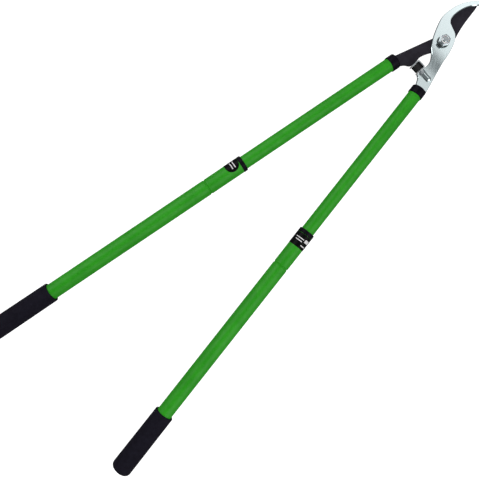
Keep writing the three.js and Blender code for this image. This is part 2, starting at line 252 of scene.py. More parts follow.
# %% Clouding group
clouding, entry, leave = group_tree(
    "clouding",
    [("Scale", FLOAT, 60.0), ("Low", FLOAT, 0.0), ("High", FLOAT, 1.0)],
    [("Value", FLOAT)],
)
cloud = noise(clouding, entry["Scale"], 4.0)
feed(clouding, leave["Value"], stretched(clouding, cloud, 0.35, 0.65, entry["Low"], entry["High"]))
print(clouding.name, len(clouding.nodes), "nodes")

# %% [markdown]
# ### Grain
# Moulded plastic carries the texture of its mould, rubber is matt because it is full of tiny pits, and
# sprayed enamel has a faint orange peel. All three are a small height from two sizes of noise.

# %% Grain group
grain, entry, leave = group_tree(
    "grain",
    [("Scale", FLOAT, 1000.0), ("Pits", FLOAT, 0.3)],
    [("Height", FLOAT)],
)
coarse = noise(grain, entry["Scale"], 2.0)
fine = noise(grain, math_node(grain, "MULTIPLY", entry["Scale"], 2.7), 1.0)
pitting = stretched(grain, fine, 0.3, 0.5, 0.0, 1.0)
pits = math_node(grain, "MULTIPLY", pitting, entry["Pits"])
feed(grain, leave["Height"], math_node(grain, "ADD", coarse, pits))
print(grain.name, len(grain.nodes), "nodes")

# %% [markdown]
# ### Hairlines
# Polishing and drawing leave fine parallel lines. A noise whose place is turned about z and then squeezed
# along one direction gives lines that are long that way and thin across.

# %% Hairline group
hairlines, entry, leave = group_tree(
    "hairlines",
    [("Turn", "NodeSocketVector", (0.0, 0.0, 0.0)), ("Scale", FLOAT, 2500.0), ("Length", FLOAT, 40.0)],
    [("Height", FLOAT)],
)
euler = {"rotation_type": "EULER_XYZ"}
place = object_place(hairlines)
turner = added(hairlines, "ShaderNodeVectorRotate", euler, Vector=place, Rotation=entry["Turn"])
shrunk = math_node(hairlines, "DIVIDE", 1.0, entry["Length"])
squeeze = added(hairlines, "ShaderNodeCombineXYZ", X=shrunk, Y=1.0, Z=1.0)
scaled = added(hairlines, "ShaderNodeVectorMath", {"operation": "MULTIPLY"})
feed(hairlines, scaled.inputs[0], turner.outputs["Vector"])
feed(hairlines, scaled.inputs[1], squeeze.outputs["Vector"])
feed(hairlines, leave["Height"], noise(hairlines, entry["Scale"], 3.0, scaled.outputs["Vector"]))
print(hairlines.name, len(hairlines.nodes), "nodes")

# %% [markdown]
# ### Edge wear
# A coating thins first where it is rubbed, on the outside edges. A Bevel node gives the normal that a
# rounded edge would have, and where that differs from the true normal there is an edge. Noise breaks it up.

# %% Edge wear group
edge_wear, entry, leave = group_tree(
    "edge wear",
    [("Width", FLOAT, 0.0005), ("Scale", FLOAT, 300.0), ("Amount", FLOAT, 1.0)],
    [("Mask", FLOAT)],
)
softened = added(edge_wear, "ShaderNodeBevel", {"samples": 4}, Radius=entry["Width"])
facing = added(edge_wear, "ShaderNodeVectorMath", {"operation": "DOT_PRODUCT"})
feed(edge_wear, facing.inputs[0], softened.outputs["Normal"])
feed(edge_wear, facing.inputs[1], edge_wear.nodes.new("ShaderNodeNewGeometry").outputs["Normal"])
edges = stretched(edge_wear, facing.outputs["Value"], 0.995, 0.9, 0.0, 1.0)
patchy = stretched(edge_wear, noise(edge_wear, entry["Scale"], 5.0), 0.4, 0.62, 0.15, 1.0)
worn = math_node(edge_wear, "MULTIPLY", edges, patchy)
feed(edge_wear, leave["Mask"], math_node(edge_wear, "MULTIPLY", worn, entry["Amount"], clamp=True))
print(edge_wear.name, len(edge_wear.nodes), "nodes")

# %% [markdown]
# ### Printed bar
# The labels carry plain bars instead of lettering. A label's own UV map holds millimetres: along the tube,
# and round it from the top. The group gives 1 inside a bar of a given centre and half size, 0 outside.

# %% Printed bar group
printed_bar, entry, leave = group_tree(
    "printed bar",
    [(title, FLOAT, 0.0) for title in ("Along", "Around", "Half width", "Half length")],
    [("Mask", FLOAT)],
)
uv = added(printed_bar, "ShaderNodeUVMap", {"uv_map": "Wrap"}).outputs["UV"]
parts = added(printed_bar, "ShaderNodeSeparateXYZ", Vector=uv)


def within(tree, value, centre, half):
    distance = math_node(tree, "ABSOLUTE", math_node(tree, "SUBTRACT", value, centre))
    return math_node(tree, "LESS_THAN", distance, half)


inside = within(printed_bar, parts.outputs["X"], entry["Along"], entry["Half width"])
inside_round = within(printed_bar, parts.outputs["Y"], entry["Around"], entry["Half length"])
feed(printed_bar, leave["Mask"], math_node(printed_bar, "MULTIPLY", inside, inside_round))
print(printed_bar.name, len(printed_bar.nodes), "nodes")


# %% Starting a finish
class Finish:
    """A new material with its Principled BSDF, and short ways to add the shared effects to it."""

    def __init__(self, name, roughness, metallic=0.0):
        self.material = bpy.data.materials.new(name)
        self.material.use_nodes = True
        self.tree = self.material.node_tree
        self.shader = self.tree.nodes["Principled BSDF"]
        self.shader.inputs["Roughness"].default_value = roughness
        self.shader.inputs["Metallic"].default_value = metallic

    def effect(self, group, **values):
        return added(self.tree, "ShaderNodeGroup", {"node_tree": group}, **values).outputs[0]

    def mixed(self, factor, first, second):
        tones = [tone if isinstance(tone, bpy.types.NodeSocket) else (*tone, 1) for tone in (first, second)]
        kind = {"data_type": "RGBA"}
        made = added(self.tree, "ShaderNodeMix", kind, Factor=factor, A=tones[0], B=tones[1])
        return made.outputs["Result"]

    def clouded(self, scale, first, second):
        """A colour that drifts between two tones."""
        return self.mixed(self.effect(clouding, Scale=scale, Low=0.0, High=1.0), first, second)

    def rubbed(self, tone, bare, width, scale, amount):
        """A tone that gives way to another where the edges are worn."""
        return self.mixed(self.effect(edge_wear, Width=width, Scale=scale, Amount=amount), tone, bare)

    def coloured(self, colour):
        feed(self.tree, self.shader.inputs["Base Color"], colour)

    def rough(self, value):
        feed(self.tree, self.shader.inputs["Roughness"], value)

    def rough_between(self, scale, low, high):
        self.rough(self.effect(clouding, Scale=scale, Low=low, High=high))

    def bumped(self, height, distance, strength=1.0):
        made = added(self.tree, "ShaderNodeBump", Strength=strength, Distance=distance, Height=height)
        feed(self.tree, self.shader.inputs["Normal"], made.outputs["Normal"])

    def grained(self, scale, pits, distance, strength):
        self.bumped(self.effect(grain, Scale=scale, Pits=pits), distance, strength)

    def set(self, **values):
        for title, value in values.items():
            self.shader.inputs[title.replace("_", " ")].default_value = value


print("finish builder ready")

# %% [markdown]
# ## Green enamel
# The handle tubes are steel, sprayed with a strong green enamel and baked. It dries to a satin skin, with
# orange peel just visible up close. Where an edge is rubbed, the enamel is thin and lighter.


# %% Green enamel
def green_enamel():
    finish = Finish("handle_enamel", 0.4)
    leaf = (0.014, 0.240, 0.004)
    moss = (0.020, 0.275, 0.007)
    tone = finish.clouded(45.0, leaf, moss)
    finish.coloured(finish.rubbed(tone, bare=(0.16, 0.42, 0.12), width=0.6 * mm, scale=500.0, amount=0.5))
    finish.rough_between(140.0, 0.42, 0.54)
    finish.grained(750.0, pits=0.1, distance=0.03 * mm, strength=0.6)
    finish.set(Specular_IOR_Level=0.2)
    return finish.material


enamel = green_enamel()
print(enamel.name)

# %% [markdown]
# ## Dark coating of the cutting blade
# The blade wears a thin non-stick coating over ground steel, so it is nearly black with a satin sheen. The
# grinding marks still show through it a little, and the coating has gone from the sharpest edges.


# %% Coated blade
def coated_blade():
    finish = Finish("blade_coating", 0.45)
    slate = (0.013, 0.011, 0.016)
    graphite = (0.018, 0.016, 0.023)
    tone = finish.clouded(90.0, slate, graphite)
    finish.coloured(finish.rubbed(tone, bare=(0.13, 0.13, 0.14), width=0.4 * mm, scale=420.0, amount=0.7))
    finish.rough_between(210.0, 0.42, 0.56)
    marks = finish.effect(hairlines, Turn=(0.0, 0.0, 0.5), Scale=1800.0, Length=25.0)
    pitted = finish.effect(grain, Scale=1500.0, Pits=0.5)
    finish.bumped(math_node(finish.tree, "ADD", marks, pitted), 0.03 * mm, 0.5)
    finish.set(Specular_IOR_Level=0.15)
    return finish.material


# %% [markdown]
# ### Ground steel
# Where the blade's bevel is ground, the coating is gone and bare steel shows, with the grinding lines lying
# across the edge. It could be one material with a mask, but the bevel is a clean-edged set of faces, so it
# takes a second material of its own.


# %% Steel of the ground cutting edge
def ground_steel():
    finish = Finish("ground_steel", 0.28, 1.0)
    marks = finish.effect(hairlines, Turn=(0.0, 0.0, 1.35), Scale=2400.0, Length=30.0)
    finish.coloured(finish.mixed(marks, (0.52, 0.53, 0.55), (0.72, 0.73, 0.75)))
    finish.rough(stretched(finish.tree, marks, 0.3, 0.7, 0.22, 0.36))
    finish.bumped(marks, 0.04 * mm, 0.6)
    return finish.material


blade_coat = coated_blade()
blade_ground = ground_steel()
print(blade_coat.name, blade_ground.name)

# %% [markdown]
# ## Polished steel of the hook
# The hook is bare steel, ground flat and polished along its length, so it mirrors the studio almost like a
# picture. The polishing leaves hairlines, which move its colour, its roughness and its normal a little. The
# light and dark bands could be painted on, but then they would stay put when the view changes. Here they
# come from the panels that hang over the hook.


# %% Polished hook
def polished_hook():
    finish = Finish("hook_polish", 0.08, 1.0)
    marks = finish.effect(hairlines, Turn=(0.0, 0.0, -0.62), Scale=2200.0, Length=45.0)
    clean = finish.mixed(marks, (0.68, 0.78, 0.79), (0.78, 0.87, 0.87))
    finish.coloured(finish.clouded(70.0, clean, (0.73, 0.82, 0.83)))
    finish.rough(stretched(finish.tree, marks, 0.3, 0.7, 0.06, 0.12))
    finish.bumped(marks, 0.01 * mm, 0.18)
    return finish.material


hook_steel = polished_hook()
print(hook_steel.name)

# %% [markdown]
# ## Zinc plate
# The bolts, nuts, washers and the bumper's clip are zinc plated: a bluish bright metal with a faint
# crystal mottle. The washer under the nut gets very dark tones instead, which are painted shade round the
# foot of the nut, so one function makes both, each with its own tones.


# %% Zinc plate
def zinc_plate(name, bright, dull, low, high):
    finish = Finish(name, low, 1.0)
    mottle = finish.clouded(700.0, dull, bright)
    finish.coloured(finish.rubbed(mottle, bare=(0.82, 0.84, 0.85), width=0.3 * mm, scale=900.0, amount=0.8))
    finish.rough_between(420.0, low, high)
    finish.grained(1600.0, pits=0.2, distance=0.02 * mm, strength=0.5)
    return finish.material


zinc = zinc_plate("zinc_plating", (0.62, 0.66, 0.68), (0.46, 0.50, 0.52), 0.26, 0.4)
# The washer's dark tones are painted shade round the foot of the nut, not a colour the zinc has.
painted_shade_washer = zinc_plate("washer_painted_shade", (0.115, 0.13, 0.13), (0.075, 0.085, 0.085), 0.34, 0.48)
print(zinc.name, painted_shade_washer.name)


# %% [markdown]
# ### Natural nylon
# The locking ring in the nut is unpigmented nylon, milky and slightly see-through. A little subsurface
# scattering gives that softness, which a plain pale colour would lack.


# %% Natural nylon
def natural_nylon():
    finish = Finish("natural_nylon", 0.45)
    finish.coloured(finish.clouded(500.0, (0.62, 0.65, 0.64), (0.74, 0.76, 0.75)))
    finish.rough_between(260.0, 0.38, 0.5)
    finish.grained(2200.0, pits=0.2, distance=0.02 * mm, strength=0.4)
    finish.set(Subsurface_Weight=0.15, Subsurface_Scale=2 * mm)
    return finish.material


nylon = natural_nylon()
print(nylon.name)


# %% [markdown]
# ### Rubber and moulded plastic
# The ferrules and bushes are moulded plastic, and the bumper and the grips are black rubber, which is matt
# because its skin is pitted. They differ only in tone, roughness and how deep the pits are, so they share
# one function. Their blacks are very low, because even black rubber sends back some light from its skin.


# %% Rubber and moulded plastic
def moulded(name, dark, light, rough, grain_scale, depth, pits=0.5, wear=0.25, shine=0.05):
    finish = Finish(name, rough[0])
    tone = finish.clouded(110.0, dark, light)
    finish.coloured(finish.rubbed(tone, bare=(0.07, 0.068, 0.075), width=0.6 * mm, scale=380.0, amount=wear))
    finish.rough_between(240.0, *rough)
    finish.grained(grain_scale, pits, depth, strength=0.7)
    finish.set(Specular_IOR_Level=shine)
    return finish.material


black_plastic = moulded(
    "moulded_plastic", (0.003, 0.0025, 0.005), (0.005, 0.004, 0.008), (0.36, 0.5), 1900.0, 0.04 * mm
)
grip_rubber = moulded(
    "grip_skin",
    dark=(0.0065, 0.0055, 0.010),
    light=(0.009, 0.008, 0.014),
    rough=(0.72, 0.86),
    grain_scale=1150.0,
    depth=0.12 * mm,
    pits=0.9,
    wear=0.35,
    shine=0.06,
)
bumper_rubber = moulded(
    "bumper_skin",
    dark=(0.006, 0.006, 0.007),
    light=(0.010, 0.010, 0.011),
    rough=(0.6, 0.75),
    grain_scale=1700.0,
    depth=0.05 * mm,
    pits=0.6,
    wear=0.5,
    shine=0.2,
)
print(black_plastic.name, grip_rubber.name, bumper_rubber.name)

# %% [markdown]
# ## Label film
# Each lower tube carries a black plastic label just behind its mouth, printed with pale bars. The bars are
# given as centre along the tube, centre round it, half width and half length, all in millimetres on the
# flat label. They could be thin raised strips, but printing has no thickness, so they are in the material.


# %% Label film
def label_film(name, bars):
    finish = Finish(name, 0.3)
    tree = finish.tree
    ink = 0.0
    for along, around, half_width, half_length in bars:
        spot = {"Along": along, "Around": around}
        bar = finish.effect(printed_bar, **spot, Half_width=half_width, Half_length=half_length)
        ink = bar if ink == 0.0 else math_node(tree, "MAXIMUM", ink, bar)
    faded = math_node(tree, "MULTIPLY", ink, finish.effect(clouding, Scale=900.0, Low=0.82, High=1.0))
    finish.coloured(finish.mixed(faded, (0.002, 0.002, 0.0025), (0.72, 0.70, 0.71)))
    finish.rough_between(300.0, 0.3, 0.42)
    finish.grained(1300.0, pits=0.0, distance=0.02 * mm, strength=0.4)
    finish.set(Specular_IOR_Level=0.05)
    return finish.material


label_bars = {
    "hook": ((8.7, -4.8, 0.75, 8.2), (13.2, -4.3, 0.75, 6.6), (8.9, 10.6, 2.8, 4.6), (19.0, 9.2, 0.8, 5.0)),
    "cutter": ((8.9, -7.3, 0.8, 7.4), (14.1, -7.0, 0.8, 7.0)),
}
label_prints = {prefix: label_film(prefix + "_label_film", label_bars[prefix]) for prefix in prefixes}
print([print_.name for print_ in label_prints.values()])

# %% [markdown]
# ## Turned pieces with Geometry Nodes
# Tubes, ferrules, bushes, grips, washers and rods are all one rule: a profile of stations and radii swept
# round a line. The tree lays out a grid with one row for each profile point, samples the profile for its
# station and radius, and bends the other direction of the grid into a circle. Merging closes the seam. It
# would also be possible to use a Screw modifier, but here the tree keeps the number of sides as an input.


# %% The turned piece tree
def geometry_tree(name, inputs):
    tree = bpy.data.node_groups.new(name, "GeometryNodeTree")
    tree.interface.new_socket("Geometry", in_out="INPUT", socket_type="NodeSocketGeometry")
    for title, kind in inputs:
        tree.interface.new_socket(title, in_out="INPUT", socket_type=kind)
    tree.interface.new_socket("Geometry", in_out="OUTPUT", socket_type="NodeSocketGeometry")
    return tree, tree.nodes.new("NodeGroupInput").outputs, tree.nodes.new("NodeGroupOutput").inputs


def placed_on_circle(tree, mesh, station, radius, turn):
    """Moves each grid point to its station along x and its radius and turn about it."""
    aside = math_node(tree, "MULTIPLY", radius, math_node(tree, "COSINE", turn))
    above = math_node(tree, "MULTIPLY", radius, math_node(tree, "SINE", turn))
    spot = added(tree, "ShaderNodeCombineXYZ", X=station, Y=aside, Z=above).outputs["Vector"]
    return added(tree, "GeometryNodeSetPosition", Geometry=mesh, Position=spot).outputs["Geometry"]


def closed_and_finished(tree, mesh, finish, leave):
    """Closes the seam, gives the finish and sends the mesh out of the tree."""
    merged = added(tree, "GeometryNodeMergeByDistance", Geometry=mesh, Distance=1e-6).outputs["Geometry"]
    real = added(tree, "GeometryNodeRealizeInstances", Geometry=merged).outputs["Geometry"]
    painted = added(tree, "GeometryNodeSetMaterial", Geometry=real, Material=finish)
    feed(tree, leave[0], painted.outputs["Geometry"])


def grid_rows(tree, rows, sides):
    """A grid of rows by sides, with each point's row number and its turn round the circle."""
    columns = math_node(tree, "ADD", sides, 1.0)
    grid = added(tree, "GeometryNodeMeshGrid", Vertices_X=rows, Vertices_Y=columns)
    index = tree.nodes.new("GeometryNodeInputIndex").outputs["Index"]
    row = math_node(tree, "FLOOR", math_node(tree, "DIVIDE", math_node(tree, "ADD", index, 0.5), columns))
    column = math_node(tree, "SUBTRACT", index, math_node(tree, "MULTIPLY", row, columns))
    turn = math_node(tree, "MULTIPLY", math_node(tree, "DIVIDE", column, sides), math.tau)
    return grid.outputs["Mesh"], row, turn


turned_tree, entry, leave = geometry_tree(
    "turned piece", [("Sides", "NodeSocketInt"), ("Finish", "NodeSocketMaterial")]
)
counted = added(turned_tree, "GeometryNodeAttributeDomainSize", Geometry=entry["Geometry"])
points = counted.outputs["Point Count"]
mesh, row, turn = grid_rows(turned_tree, math_node(turned_tree, "ADD", points, 1.0), entry["Sides"])
profile_spot = added(
    turned_tree,
    "GeometryNodeSampleIndex",
    {"data_type": "FLOAT_VECTOR"},
    Geometry=entry["Geometry"],
    Value=turned_tree.nodes.new("GeometryNodeInputPosition").outputs["Position"],
    Index=math_node(turned_tree, "FLOORED_MODULO", row, points),
)
parts = added(turned_tree, "ShaderNodeSeparateXYZ", Vector=profile_spot.outputs["Value"]).outputs
shaped = placed_on_circle(turned_tree, mesh, parts["X"], parts["Y"], turn)
closed_and_finished(turned_tree, shaped, entry["Finish"], leave)
print(turned_tree.name, len(turned_tree.nodes), "nodes")


# %% Running a tree and tidying its mesh
def grown(name, tree, start_points, **inputs):
    """The tree's result as a plain mesh: the modifier goes with the object that carried it."""
    start = bpy.data.meshes.new(name)
    start.from_pydata(start_points, [], [])
    carrier = bpy.data.objects.new(name + "_carrier", start)
    scene.collection.objects.link(carrier)
    modifier = carrier.modifiers.new("Shape", "NODES")
    modifier.node_group = tree
    for socket in tree.interface.items_tree:
        if socket.in_out == "INPUT" and socket.name in inputs:
            modifier[socket.identifier] = inputs[socket.name]
    graph = bpy.context.evaluated_depsgraph_get()
    mesh = bpy.data.meshes.new_from_object(carrier.evaluated_get(graph))
    bpy.data.objects.remove(carrier)
    mesh.materials.clear()
    mesh.materials.append(inputs["Finish"])
    mesh.polygons.foreach_set("material_index", [0] * len(mesh.polygons))
    return tidied(mesh)


def tidied(mesh):
    """Doubles merged, loose edges gone and faces turned outwards."""
    work = bmesh.new()
    work.from_mesh(mesh)
    bmesh.ops.remove_doubles(work, verts=work.verts, dist=1e-7)
    loose = [edge for edge in work.edges if not edge.link_faces]
    bmesh.ops.delete(work, geom=loose, context="EDGES")
    bmesh.ops.recalc_face_normals(work, faces=work.faces)
    work.to_mesh(mesh)
    work.free()
    return mesh


def turned(name, profile, place, finish, sides=96):
    points = [(station, radius, 0.0) for station, radius in profile]
    mesh = grown(name, turned_tree, points, Sides=sides, Finish=finish)
    mesh.transform(place)
    return mesh


def rod(length, radius, place, finish, sides=64):
    """A plain round bar along x, for a shank or for drilling a hole."""
    return turned("rod", [(0, 0), (0, radius), (length, radius), (length, 0)], place, finish, sides)


print("tree runner ready")

# %% [markdown]
# ### Rounded profiles
# Nothing that is turned, drawn or moulded has a razor edge, and it is the small round on each edge that
# catches the light. So every corner of a profile may name a radius, and gets an arc of that radius.


# %% Rounding the corners of a profile
def rounded(*corners, steps=5):
    """Corners are (station, radius) or (station, radius, corner radius), in order round the section."""
    made = []
    count = len(corners)
    for i, corner in enumerate(corners):
        here = Vector(corner[:2])
        fillet = corner[2] if len(corner) > 2 else 0.0
        if fillet <= 0:
            made.append(tuple(here))
            continue
        back = (Vector(corners[i - 1][:2]) - here).normalized()
        ahead = (Vector(corners[(i + 1) % count][:2]) - here).normalized()
        half_angle = back.angle(ahead) / 2
        reach_back = fillet / math.tan(half_angle)
        centre = here + (back + ahead).normalized() * (fillet / math.sin(half_angle))
        first = (here + back * reach_back - centre).normalized()
        last = (here + ahead * reach_back - centre).normalized()
        for step in range(steps + 1):
            made.append(tuple(centre + fillet * first.slerp(last, step / steps)))
    return made


def put(name, mesh, body, slot, *replaced, sharp=32.0):
    """Makes a mesh a piece: smooth between its sharp edges, riding its body, standing for CAD parts."""
    mesh.name = name
    mesh.shade_smooth()
    mesh.set_sharp_from_angle(angle=math.radians(sharp))
    piece = bpy.data.objects.new(name, mesh)
    scene.collection.objects.link(piece)
    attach(piece, body)
    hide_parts(*replaced)
    print(name, len(mesh.polygons), "faces on", body)


# %% [markdown]
# ### Cutting and joining
# Holes are drilled and pieces welded on with the Boolean modifier, as a workshop would do it. Its manifold
# solver is quick and exact, but it wants closed meshes, and gives the first one back unchanged if one isn't.


# %% Cutting and joining meshes
def released(work, name, *finishes):
    """The bmesh written to a mesh with its finishes, and freed."""
    mesh = bpy.data.meshes.new(name)
    work.to_mesh(mesh)
    work.free()
    for finish in finishes:
        mesh.materials.append(finish)
    return mesh


def combined(operation, base, *others):
    """Base with the others cut away, added or kept in common, as one closed mesh."""
    carrier = bpy.data.objects.new("combined_carrier", base)
    scene.collection.objects.link(carrier)
    helpers = []
    for other in others:
        helper = bpy.data.objects.new("combined_helper", other)
        scene.collection.objects.link(helper)
        helpers.append(helper)
        modifier = carrier.modifiers.new("Cut", "BOOLEAN")
        modifier.operation = operation
        modifier.solver = "MANIFOLD"
        modifier.object = helper
    graph = bpy.context.evaluated_depsgraph_get()
    mesh = bpy.data.meshes.new_from_object(carrier.evaluated_get(graph))
    for helper in (carrier, *helpers):
        bpy.data.objects.remove(helper)
    return mesh


def block(low, high, place, finish):
    """A box between two corners, in a handle's frame or the tool's."""
    work = bmesh.new()
    bmesh.ops.create_cube(work, size=1.0)
    size = Vector(high) - Vector(low)
    middle = (Vector(high) + Vector(low)) / 2
    bmesh.ops.transform(work, matrix=Matrix.LocRotScale(middle, None, size), verts=work.verts)
    mesh = released(work, "block", finish)
    mesh.transform(place)
    return mesh


def standing(x, y, z, direction):
    """A frame whose x axis points in a direction, for bolts, studs and upright pins."""
    turn = Vector((1, 0, 0)).rotation_difference(Vector(direction)).to_matrix().to_4x4()
    turn.translation = (x, y, z)
    return turn


print("mesh tools ready")

# %% [markdown]
# ## Handle tubes
# The upper tube is drawn steel, open at both ends. The lower tube is a size larger and slides over it. A
# bead rolled into the lower tube holds back the lock sleeve, so that the tube can't be pulled off. A cosine
# gives the bead its soft shoulders, and the tube is one profile: out along the outside, back along the bore.
# The outside is pressed in a little deeper than the bore, which leaves the dark crease round the tube. A
# cylinder with a Solidify modifier would also give a tube, but not one with a different groove on each side.


# %% Upper tubes
def drawn_tube(start, end, radius, bore, lip=0.4 * mm):
    return [(start, bore, lip / 2), (start, radius, lip), (end, radius, lip), (end, bore, lip / 2)]


tube_sides = 128
seat_gap = 0.3 * mm
for prefix in prefixes:
    tube = reach(prefix, "upper_tube")
    pin = reach(prefix, "tang_pin")
    mesh = turned(
        prefix + "_upper_tube_drawn",
        rounded(*drawn_tube(tube.start, tube.end, tube.radius, tube.bore), steps=3),
        handles[prefix],
        enamel,
        tube_sides,
    )
    pin_place = handles[prefix] @ standing((pin.start + pin.end) / 2, 0, -2 * tube.radius, (0, 0, 1))
    pin_hole = (pin.end - pin.start) / 2 + seat_gap
    mesh = combined("DIFFERENCE", mesh, rod(4 * tube.radius, pin_hole, pin_place, enamel, 32))
    put(prefix + "_handle_tube", mesh, fixed_body[prefix], "green_enamel", prefix + "_upper_tube")

# %% Lower tubes with their rolled bead
lower_tube_wall = 0.8 * mm
bead_length = 6.6 * mm
crease_length = 4.4 * mm
crease = 0.35 * mm
lip = 0.35 * mm


def bead(middle, length, depth, radius, steps=20):
    """The bead's groove in a wall at this radius, from the low station to the high one."""
    spots = []
    for step in range(steps + 1):
        share = step / steps
        sink = depth * (1 - math.cos(math.tau * share)) / 2
        spots.append((middle + length * (share - 0.5), radius - sink))
    return spots


for prefix in prefixes:
    tube = reach(prefix, "lower_tube")
    upper = reach(prefix, "upper_tube")
    bore = tube.radius - lower_tube_wall
    bead_middle = upper.end - bead_length / 2
    bead_depth = bore - tube.bore
    profile = [
        *rounded((tube.start, bore), (tube.start, tube.radius, lip), (tube.end, tube.radius), steps=3)[:-1],
        *bead(bead_middle, crease_length, bead_depth + crease, tube.radius),
        (tube.end, tube.radius),
        (tube.end, bore),
        *reversed(bead(bead_middle, bead_length, bead_depth, bore)),
    ]
    mesh = turned(prefix + "_lower_tube_rolled", profile, handles[prefix], enamel, tube_sides)
    lower_body = prefix + "_lower_handle"
    put(prefix + "_sliding_tube", mesh, lower_body, "green_enamel", prefix + "_lower_tube", sharp=50)

# %% [markdown]
# ## Ferrules and guide bushes
# A moulded ferrule caps the head end of each upper tube, and the jaw's tang enters through a slot in its
# face. A guide bush in the lower tube's mouth keeps the two tubes from rattling, and only its collar
# shows. Both could be cylinders with a Bevel modifier, but a turned profile lets each edge have the round
# that its mould would give it.

# %% Ferrules with the tang's slot
jaw_node = {"cutter": "cutting_blade", "hook": "hook_blade"}
tang_margin = 5 * mm


def tang_section(prefix, front):
    """Half width and heights of the tang inside the ferrule."""
    inverse = handles[prefix].inverted()
    spots = [inverse @ vertex.co for vertex in frame["nodes"][jaw_node[prefix]].data.vertices]
    inner = [spot for spot in spots if spot.x > front + tang_margin]
    half = max(abs(spot.y) for spot in inner)
    return half, min(spot.z for spot in inner), max(spot.z for spot in inner)


for prefix in prefixes:
    cap = reach(prefix, "head_ferrule")
    tube = reach(prefix, "upper_tube")
    bore = tube.radius + seat_gap
    seat = tube.start - seat_gap
    mesh = turned(
        prefix + "_ferrule_moulded",
        rounded(
            (cap.start, 0),
            (cap.start, cap.radius, 1.6 * mm),
            (cap.end, cap.radius, 0.7 * mm),
            (cap.end, bore, 0.15 * mm),
            (seat, bore),
            (seat, 0),
        ),
        handles[prefix],
        black_plastic,
    )
    half, low, high = tang_section(prefix, cap.start)
    slot = block(
        (cap.start - tang_margin, -half - seat_gap, low - seat_gap),
        (cap.end, half + seat_gap, high + seat_gap),
        handles[prefix],
        black_plastic,
    )
    mesh = combined("DIFFERENCE", mesh, slot)
    put(prefix + "_ferrule", mesh, fixed_body[prefix], "black_plastic", prefix + "_head_ferrule")

# %% Guide bushes
for prefix in prefixes:
    bush = reach(prefix, "guide_bush")
    tube = reach(prefix, "lower_tube")
    flange_end = tube.start - seat_gap
    skirt_radius = tube.radius - lower_tube_wall - seat_gap
    mesh = turned(
        prefix + "_bush_moulded",
        rounded(
            (bush.start, bush.bore, 0.3 * mm),
            (bush.start, bush.radius, 1.3 * mm),
            (flange_end, bush.radius, 0.4 * mm),
            (flange_end, skirt_radius),
            (bush.end, skirt_radius, 0.2 * mm),
            (bush.end, bush.bore, 0.2 * mm),
        ),
        handles[prefix],
        black_plastic,
    )
    put(prefix + "_mouth_bush", mesh, prefix + "_lower_handle", "black_plastic", prefix + "_guide_bush")

# %% [markdown]
# ## Labels
# A label is a thin film bent round the tube, so it is made flat, as a grid over its outline, and then
# wrapped: distance round the label becomes turn round the axis. The hook's label goes all the way round
# and its ends nearly meet underneath. The cutter's label stops short, with both ends cut to a half round.
# A Shrinkwrap modifier could lay a flat sheet on the tube too, but it would stretch the printing.


# %% Curled film
def curled_film(name, prefix, start_round, end_round, half_width, end_cut):
    """A strip between two distances round the tube. end_cut is 1 for half round ends, 0 for square ones."""
    label = reach(prefix, "label")
    middle = (label.start + label.end) / 2
    rows = 140
    columns = 16
    end_floor = 0.02 * mm
    work = bmesh.new()
    uv_layer = work.loops.layers.uv.new("Wrap")
    flat = {}
    grid = {}
    for layer, radius in enumerate((label.bore, label.radius)):
        for row in range(rows + 1):
            share = (1 - math.cos(math.pi * row / rows)) / 2
            around = start_round + (end_round - start_round) * share
            from_end = min(around - start_round, end_round - around)
            inward = max(half_width - from_end, 0) * end_cut
            half = math.sqrt(max(half_width**2 - inward**2, end_floor**2))
            turn = around / label.radius
            for column in range(columns + 1):
                station = middle + half * (2 * column / columns - 1)
                vertex = work.verts.new((station, radius * math.sin(turn), radius * math.cos(turn)))
                grid[layer, row, column] = vertex
                flat[vertex] = ((station - label.start) / mm, around / mm)

    def face(keys):
        for loop in work.faces.new([grid[key] for key in keys]).loops:
            loop[uv_layer].uv = flat[loop.vert]

    square = ((0, 0), (0, 1), (1, 1), (1, 0))
    for row in range(rows):
        for column in range(columns):
            for layer in (0, 1):
                face([(layer, row + down, column + over) for down, over in square])
        for column in (0, columns):
            face([(layer, row + down, column) for down, layer in square])
    for row in (0, rows):
        for column in range(columns):
            face([(layer, row, column + over) for over, layer in square])
    bmesh.ops.recalc_face_normals(work, faces=work.faces)
    mesh = released(work, name, label_prints[prefix])
    mesh.transform(handles[prefix])
    return mesh


half_seam = 0.4 * mm
cutter_label_start = -50 * mm
cutter_label_end = 5.5 * mm
for prefix in prefixes:
    label = reach(prefix, "label")
    half_width = (label.end - label.start) / 2
    if prefix == "hook":
        reach_round = math.pi * label.radius - half_seam
        span = (-reach_round, reach_round, half_width, 0)
    else:
        span = (cutter_label_start, cutter_label_end, half_width, 1)
    mesh = curled_film(prefix + "_label_curled", prefix, *span)
    lower_body = prefix + "_lower_handle"
    put(prefix + "_tube_label", mesh, lower_body, "label_film", prefix + "_label", sharp=60)

# %% [markdown]
# ## Grips
# The grips are pulled over the lower tubes: a slightly tapered rubber sleeve with a soft front edge and a
# rounded butt. It could be sculpted, but it is the same all the way round, so it is one turned profile, and
# the pitted skin comes from the rubber's bump.

# %% Moulded grips
grip_front_wall = 3.2 * mm
butt_round = 8 * mm
for prefix in prefixes:
    grip = reach(prefix, "grip")
    tube = reach(prefix, "lower_tube")
    bore = tube.radius + seat_gap
    butt_wall = grip.end - tube.end - seat_gap
    mesh = turned(
        prefix + "_grip_moulded",
        rounded(
            (grip.start, bore, 0.3 * mm),
            (grip.start, bore + grip_front_wall, 1.3 * mm),
            (grip.end, grip.radius, butt_round),
            (grip.end, 0),
            (grip.end - butt_wall, 0),
            (grip.end - butt_wall, bore),
            steps=10,
        ),
        handles[prefix],
        grip_rubber,
        tube_sides,
    )
    put(prefix + "_rubber_grip", mesh, prefix + "_lower_handle", "grip_rubber", prefix + "_grip")

